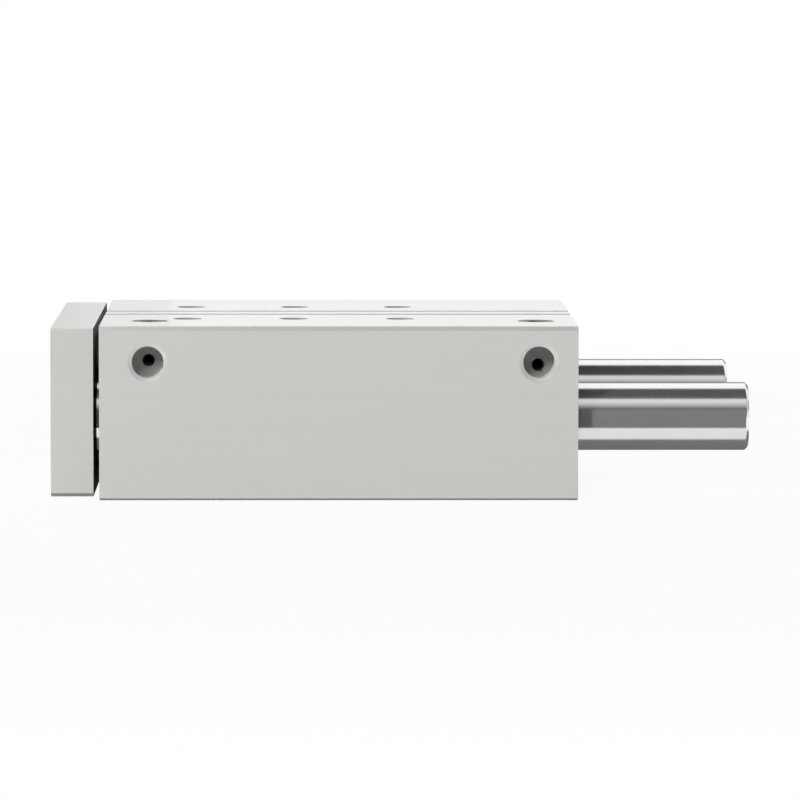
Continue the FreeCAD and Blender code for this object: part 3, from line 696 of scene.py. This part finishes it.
def give_faces(mesh, chosen, index):
    """Give the chosen faces one of the mesh's materials."""
    marks = np.empty(len(mesh.polygons), np.int32)
    mesh.polygons.foreach_get("material_index", marks)
    marks[chosen] = index
    mesh.polygons.foreach_set("material_index", marks)


def mark_openings(mesh):
    """Give the faces inside the record's openings the slots' material."""
    middles = face_middles(mesh)
    below = middles[:, 2] < CAD_BOX[1].z - OPENING_MARGIN
    for opening in frame["record"]["physics"]["openings"]:
        low, high = np.array(opening["box_m"]) + [[-OPENING_MARGIN], [OPENING_MARGIN]]
        give_faces(mesh, below & ((low < middles) & (middles < high)).all(axis=1), SLOT_FACES)


def mark_holes(mesh, threads):
    """Give the threaded holes' drilled floors the threads' material, and recesses on top their own; both are
    darker, painted shade.
    """
    middles = face_middles(mesh)
    from_top = CAD_BOX[1].z - middles[:, 2]
    for _, mouth, axis, core in threaded_holes(threads):
        along, away = from_hole(middles, mouth, axis)
        floor = (away < core - ON_WALL) & (along < -WELD) & (along > -FLOOR_REACH)
        give_faces(mesh, floor, THREAD_SHADE_FACES)
        if axis[2]:
            recess_shade = (away < RECESS_RADIUS) & (from_top > WELD) & (from_top < RECESS_DEPTH)
            give_faces(mesh, recess_shade, RECESS_SHADE_FACES)


def stand_in(mesh, node):
    """Object for a mesh that stands for a CAD node: in the same body, with the node hidden."""
    mesh.shade_smooth()
    mesh.set_sharp_from_angle(angle=SHARP)
    piece = new_object(mesh)
    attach(piece, frame["nodes"][node]["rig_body"])
    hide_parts(node)
    return piece


def broken_edges(node, name, width, threads=None, finish=None):
    """New piece in place of a CAD node: the same solid with its edges broken and its threads cut."""
    mesh = threaded_mesh(node, name, threads or {})
    mesh.materials.append(finish_of(finish or NODE_SLOTS[node]))
    weld_and_mark(mesh)
    if threads:
        for other in ("thread_painted_shade", "anodised_slot", "recess_painted_shade"):
            mesh.materials.append(finish_of(other))
        mark_openings(mesh)
        mark_holes(mesh, threads)
    piece = stand_in(mesh, node)
    bevel = piece.modifiers.new("edge_break", "BEVEL")
    bevel.limit_method = "WEIGHT"
    bevel.width = width
    bevel.segments = EDGE_SEGMENTS
    bevel.use_clamp_overlap = False
    bevel.harden_normals = True
    return piece


def shade_plate_back(plate):
    """Give the plate's face towards the housing its darker colour, which is painted shade for the narrow
    gap.
    """
    plate.materials.append(finish_of("back_painted_shade"))
    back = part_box("yoke_plate")[1].x
    give_faces(plate, face_middles(plate)[:, 0] > back - WELD, len(plate.materials) - 1)


def rod_section(rod, screw):
    """Half section of a guide rod as rows of x and radius, from its tapped hole's floor to its free end.

    The free end has a chamfer at 45 degrees, and each edge of it is an eighth of a circle.
    """
    sizes = settings().sizes
    low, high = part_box(rod)
    radius = (high.z - low.z) / 2
    tap_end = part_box(screw)[1].x + ROD_TAP_RUNOUT
    start = [
        (tap_end + ROD_TAP_RADIUS * DRILL_TIP, 0.0),
        (tap_end, ROD_TAP_RADIUS),
        (low.x, ROD_TAP_RADIUS),
        (low.x, radius - sizes.rod_lead),
        (low.x + sizes.rod_lead, radius),
    ]
    turn = np.linspace(0.0, math.pi / 4, TIP_STEPS)
    across = sizes.rod_tip + sizes.tip_round * math.tan(math.pi / 8)
    arc = sizes.tip_round * np.stack([np.sin(turn), np.cos(turn)], axis=-1)
    outer = (high.x - across, radius - sizes.tip_round) + arc
    inner = (high.x - sizes.tip_round, radius - across) + arc[::-1, ::-1]
    return np.concatenate([start, outer, inner, [(high.x, 0.0)]])


def turned_grid(section, middle, sides):
    """Half section of x and radius carried round an axis along X, as a grid of points."""
    angle = np.arange(sides) * math.tau / sides
    grid = np.empty((len(section), sides, 3))
    grid[:, :, 0] = section[:, :1]
    grid[:, :, 1] = middle.y + section[:, 1:] * np.cos(angle)
    grid[:, :, 2] = middle.z + section[:, 1:] * np.sin(angle)
    return grid


def polished_rod(side):
    """New piece in place of a guide rod: its section turned about its axis."""
    node = "guide_rod_" + side
    low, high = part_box(node)
    grid = turned_grid(rod_section(node, "plate_screw_" + side), (low + high) / 2, ROD_SIDES)
    mesh = new_mesh("polished_rod_" + side, grid, grid_faces(*grid.shape[:2]).tolist())
    work = bmesh.new()
    work.from_mesh(mesh)
    bmesh.ops.remove_doubles(work, verts=work.verts, dist=WELD)
    bmesh.ops.recalc_face_normals(work, faces=work.faces)
    work.to_mesh(mesh)
    work.free()
    mesh.materials.append(finish_of(NODE_SLOTS[node]))
    stand_in(mesh, node)


def paint(node):
    """Give a CAD node that stays the finish of its slot."""
    frame["nodes"][node].data.materials[0] = finish_of(NODE_SLOTS[node])


def sweep_profile():
    """Floor and backdrop seen from the side: level floor, quarter arc and wall."""
    turn = np.linspace(0.0, math.pi / 2, FLOOR_BEND_STEPS)
    y = np.concatenate([[FLOOR_FRONT], FLOOR_BEND_START + FLOOR_BEND * np.sin(turn),
                        [FLOOR_BEND_START + FLOOR_BEND]])
    z = np.concatenate([[0.0], FLOOR_BEND * (1 - np.cos(turn)), [WALL_HEIGHT]])
    return np.stack([y, z + CAD_BOX[0].z - FLOOR_DROP], axis=-1)


def carried(profile, start, end):
    """Grid of a profile of (y, z) points carried along X from start to end."""
    grid = np.empty((len(profile), 2, 3))
    grid[:, :, 0] = (start, end)
    grid[:, :, 1:] = np.array(profile)[:, None, :]
    return grid


def across_x(x, heights):
    """Grid of an upright card across X."""
    ends = (-RIGHT_HALF_WIDTH, RIGHT_HALF_WIDTH)
    return np.array([[(x, y, z) for y in ends] for z in heights])


def floor_material(stage, middle):
    """Pale floor: plain white to the camera and in mirrors, less the object's soft shadow near it."""
    sheet = NodeSheet("studio_floor")
    path = sheet.add("ShaderNodeLightPath").outputs
    seen = path["Is Camera Ray"]
    for ray in ("Is Glossy Ray", "Is Transmission Ray"):
        seen = sheet.calculate("MAXIMUM", seen, path[ray])
    away = sheet.add("ShaderNodeVectorMath", {0: sheet.place, 1: middle}, operation="DISTANCE")
    glow = sheet.mapped(away.outputs["Value"], SHADOW_REACH, (stage.floor_glow, 1.0),
                        interpolation_type="SMOOTHSTEP")
    share = sheet.calculate("MULTIPLY", seen, glow)
    matt = sheet.add("ShaderNodeBsdfDiffuse", {"Color": (*stage.floor_colour, 1.0)}).outputs[0]
    white = sheet.add("ShaderNodeEmission").outputs[0]
    return sheet.end_in(sheet.add("ShaderNodeMixShader", {0: share, 1: matt, 2: white}).outputs[0])


def card_material(name, level):
    """Card of one level all over."""
    sheet = NodeSheet(name)
    return sheet.end_in(sheet.add("ShaderNodeEmission", {"Strength": level}).outputs[0])


def rising_material(name, heights, levels):
    """Card whose level rises with Z, from the first level at the first height to the second."""
    sheet = NodeSheet(name)
    level = sheet.mapped(sheet.part(sheet.place, "Z"), heights, levels)
    return sheet.end_in(sheet.add("ShaderNodeEmission", {"Strength": level}).outputs[0])


def stage_surface(name, grid, material):
    """Surface of the stage through a grid of points."""
    mesh = new_mesh(name, grid, grid_faces(*grid.shape[:2], closed=False).tolist())
    mesh.shade_smooth()
    mesh.materials.append(material)
    surface = new_object(mesh)
    return surface


def mirror_card(name, grid, material):
    """Card that is seen in mirrors only and throws no shadow."""
    card = stage_surface(name, grid, material)
    card.visible_camera = False
    card.visible_diffuse = False
    card.visible_transmission = False
    card.visible_shadow = False


def plain_card(name, profile, span, level):
    """Mirror card of one level: a profile of (y, z) points carried over a span of X."""
    mirror_card(name, carried(profile, *span), card_material(name, level))


def low_wall(y):
    """Profile of a low card beside a rod."""
    return [(y, z) for z in NEAR_HEIGHTS]


def rod_tray(stage):
    """Grey cards under and beside the rods, with a pale strip of floor along the near rod's free end."""
    block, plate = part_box("housing"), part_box("yoke_plate")
    start, end = block[1].x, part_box("guide_rod_far")[1].x
    floor = block[0].z - CARD_DROP
    near = block[0].y + NEAR_INSET
    on_floor = (start, end + TRAY_PAST_END)
    plain_card("tray_floor", [(-TRAY_FLOOR, floor), (TRAY_FLOOR, floor)], on_floor, stage.tray_level)
    plain_card("tray_slit", [(-SLIT_REACH, floor), (-TRAY_FLOOR, floor)], on_floor, stage.slit_level)
    for row, (y, height) in enumerate(TRAY_WALLS):
        plain_card(f"tray_wall_{row}", [(y, floor), (y, height)], (start, end + WALL_PAST_END),
                   stage.tray_level)
    plain_card("tray_near", low_wall(near), (start, end), stage.tray_level)
    plain_card("tray_corner", low_wall(near + CORNER_INSET), (start, start + CORNER_REACH),
               stage.corner_level)
    drawn = plate[0].x - DRAWN_REACH
    plain_card("shade_under_block", [(block[0].y, floor), (block[1].y, floor)], (drawn, block[1].x),
               stage.tray_level)
    plain_card("drawn_near", low_wall(plate[0].y + NEAR_INSET), (drawn, plate[1].x), stage.tray_level)


def gap_cards(stage):
    """Dark cards in the gap between plate and block."""
    block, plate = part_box("housing"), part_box("yoke_plate")
    gap = (plate[1].x, block[0].x)
    far = block[1].y - NEAR_INSET
    behind = [(far, block[0].z - CARD_DROP), (far, plate[1].z)]
    plain_card("shade_behind_gap", behind, gap, stage.gap_level)
    plain_card("shade_in_gap", low_wall(block[0].y + NEAR_INSET), gap, stage.gap_level)


def light_cards(stage):
    """Cards farther off that tops, rods and edges mirror: behind and over the left end, in front, right."""
    plain_card("shade_behind_left", LEFT_PROFILE, LEFT_SPAN, stage.left_level)
    plain_card("shade_behind_end", END_PROFILE, END_SPAN, stage.end_level)
    plain_card("over_card", OVER_PROFILE, OVER_SPAN, stage.over_card)
    foot, full, top = FRONT_ANGLES
    angle = np.linspace(foot, top, FRONT_STEPS)
    arc = FRONT_REACH * np.stack([-np.cos(angle), np.sin(angle)], axis=-1)
    heights = (FRONT_REACH * math.sin(foot), FRONT_REACH * math.sin(full))
    front = rising_material("front_card", heights, (stage.tray_level, stage.front_card))
    mirror_card("front_card", carried(arc, *FRONT_SPAN), front)
    mirror_card("right_card", across_x(RIGHT_PLACE, RIGHT_HEIGHTS),
                card_material("right_card", stage.right_card))
    mirror_card("right_shade", across_x(SHADE_PLACE, SHADE_HEIGHTS),
                card_material("right_shade", stage.right_shade))


def softbox(name, place, target, size, level):
    """Area lamp, not seen in mirrors, that faces a point and lights a white card there to a level."""
    reach = Vector(target) - Vector(place)
    lamp = bpy.data.lights.new(name, "AREA")
    lamp.shape = "RECTANGLE"
    lamp.size, lamp.size_y = size
    lamp.energy = level * math.pi ** 2 * reach.length_squared
    holder = new_object(lamp)
    holder.location = place
    holder.rotation_euler = reach.to_track_quat("-Z", "Y").to_euler()
    holder.visible_camera = False
    holder.visible_glossy = False


def room_world(stage):
    """Dim room: grey round the horizon and darker towards the ceiling."""
    world = bpy.data.worlds.new("room")
    world.use_nodes = True
    nodes, links = world.node_tree.nodes, world.node_tree.links
    way = nodes.new("ShaderNodeTexCoord")
    parts = nodes.new("ShaderNodeSeparateXYZ")
    level = nodes.new("ShaderNodeMapRange")
    level.inputs["From Max"].default_value = CEILING_START
    level.inputs["To Min"].default_value = stage.room_level
    level.inputs["To Max"].default_value = stage.ceiling_level
    links.new(way.outputs["Generated"], parts.inputs[0])
    links.new(parts.outputs["Z"], level.inputs["Value"])
    links.new(level.outputs["Result"], nodes["Background"].inputs["Strength"])
    nodes["Background"].inputs["Color"].default_value = WHITE
    return world


def set_camera(stage):
    """Camera at the stage's place and angles, as the scene's own."""
    camera = new_object(bpy.data.cameras.new("camera"))
    camera.location = stage.camera_place
    camera.rotation_euler = stage.camera_angles
    camera.data.sensor_width = SENSOR_WIDTH
    camera.data.lens = stage.camera_lens
    bpy.context.scene.camera = camera


class GUIDED_OT_block(bpy.types.Operator):
    """Housing block with broken edges and with threads in its ports and holes"""

    bl_idname = "guided.block"
    bl_label = "Finish the housing"

    def execute(self, context):
        broken_edges("housing", "housing_block", settings().sizes.block_edge, threads=HOUSING_THREADS)
        return {"FINISHED"}


class GUIDED_OT_plate(bpy.types.Operator):
    """Yoke plate with broken edges, its load threads and painted shade on its back"""

    bl_idname = "guided.plate"
    bl_label = "Finish the plate"

    def execute(self, context):
        plate = broken_edges("yoke_plate", "plate_block", settings().sizes.block_edge,
                             threads=PLATE_THREADS, finish="anodised_plate")
        shade_plate_back(plate.data)
        return {"FINISHED"}


class GUIDED_OT_rods(bpy.types.Operator):
    """Polished guide rods with rounded ends, and the piston rod"""

    bl_idname = "guided.rods"
    bl_label = "Polish the rods"

    def execute(self, context):
        for side in ("near", "far"):
            polished_rod(side)
        paint("piston_rod")
        return {"FINISHED"}


class GUIDED_OT_fittings(bpy.types.Operator):
    """Screws, plugs, retaining rings and caps with broken edges"""

    bl_idname = "guided.fittings"
    bl_label = "Finish the fittings"

    def execute(self, context):
        for node, name in FITTINGS.items():
            broken_edges(node, name, settings().sizes.small_edge)
        return {"FINISHED"}


class GUIDED_OT_inner(bpy.types.Operator):
    """Finishes of the bearings, seals and piston, which stay as the solids give them"""

    bl_idname = "guided.inner"
    bl_label = "Finish the inner pieces"

    def execute(self, context):
        for name, node in frame["nodes"].items():
            if not node.hide_render:
                paint(name)
        return {"FINISHED"}


class GUIDED_OT_stage(bpy.types.Operator):
    """Camera, floor with backdrop, and soft light"""

    bl_idname = "guided.stage"
    bl_label = "Set the stage"

    def execute(self, context):
        stage = settings().stage
        middle = (CAD_BOX[0] + CAD_BOX[1]) / 2
        context.scene.view_settings.view_transform = "Standard"
        context.scene.world = room_world(stage)
        set_camera(stage)
        stage_surface("studio_floor", carried(sweep_profile(), -FLOOR_HALF_WIDTH, FLOOR_HALF_WIDTH),
                      floor_material(stage, middle))
        rod_tray(stage)
        gap_cards(stage)
        light_cards(stage)
        for name, place, size in LAMPS:
            softbox(name, place, middle, size, getattr(stage, name + "_level"))
        return {"FINISHED"}


class GUIDED_PT_panel(bpy.types.Panel):
    """Settings and steps of the cylinder's looks"""

    bl_idname = "GUIDED_PT_panel"
    bl_label = "Guided cylinder"
    bl_space_type = "VIEW_3D"
    bl_region_type = "UI"
    bl_category = "Guided cylinder"

    def draw(self, context):
        for group in (settings().sizes, settings().finishes, settings().stage):
            box = self.layout.box()
            for name in group.bl_rna.properties.keys():
                if name not in ("rna_type", "name"):
                    box.prop(group, name)
        for step in STEPS:
            self.layout.operator(step.bl_idname)


STEPS = (GUIDED_OT_block, GUIDED_OT_plate, GUIDED_OT_rods, GUIDED_OT_fittings, GUIDED_OT_inner,
         GUIDED_OT_stage)
CLASSES = (CylinderSizes, CylinderFinishes, CylinderStage, CylinderSettings, *STEPS, GUIDED_PT_panel)


def register():
    """Register the classes and the scene's settings."""
    for cls in CLASSES:
        bpy.utils.register_class(cls)
    bpy.types.Scene.guided_cylinder = PointerProperty(type=CylinderSettings)


def unregister():
    """Take back what register added."""
    del bpy.types.Scene.guided_cylinder
    for cls in reversed(CLASSES):
        bpy.utils.unregister_class(cls)


def main():
    """Register the classes and run every step."""
    register()
    bpy.ops.guided.block()
    bpy.ops.guided.plate()
    bpy.ops.guided.rods()
    bpy.ops.guided.fittings()
    bpy.ops.guided.inner()
    bpy.ops.guided.stage()


if __name__ == "__main__":
    main()
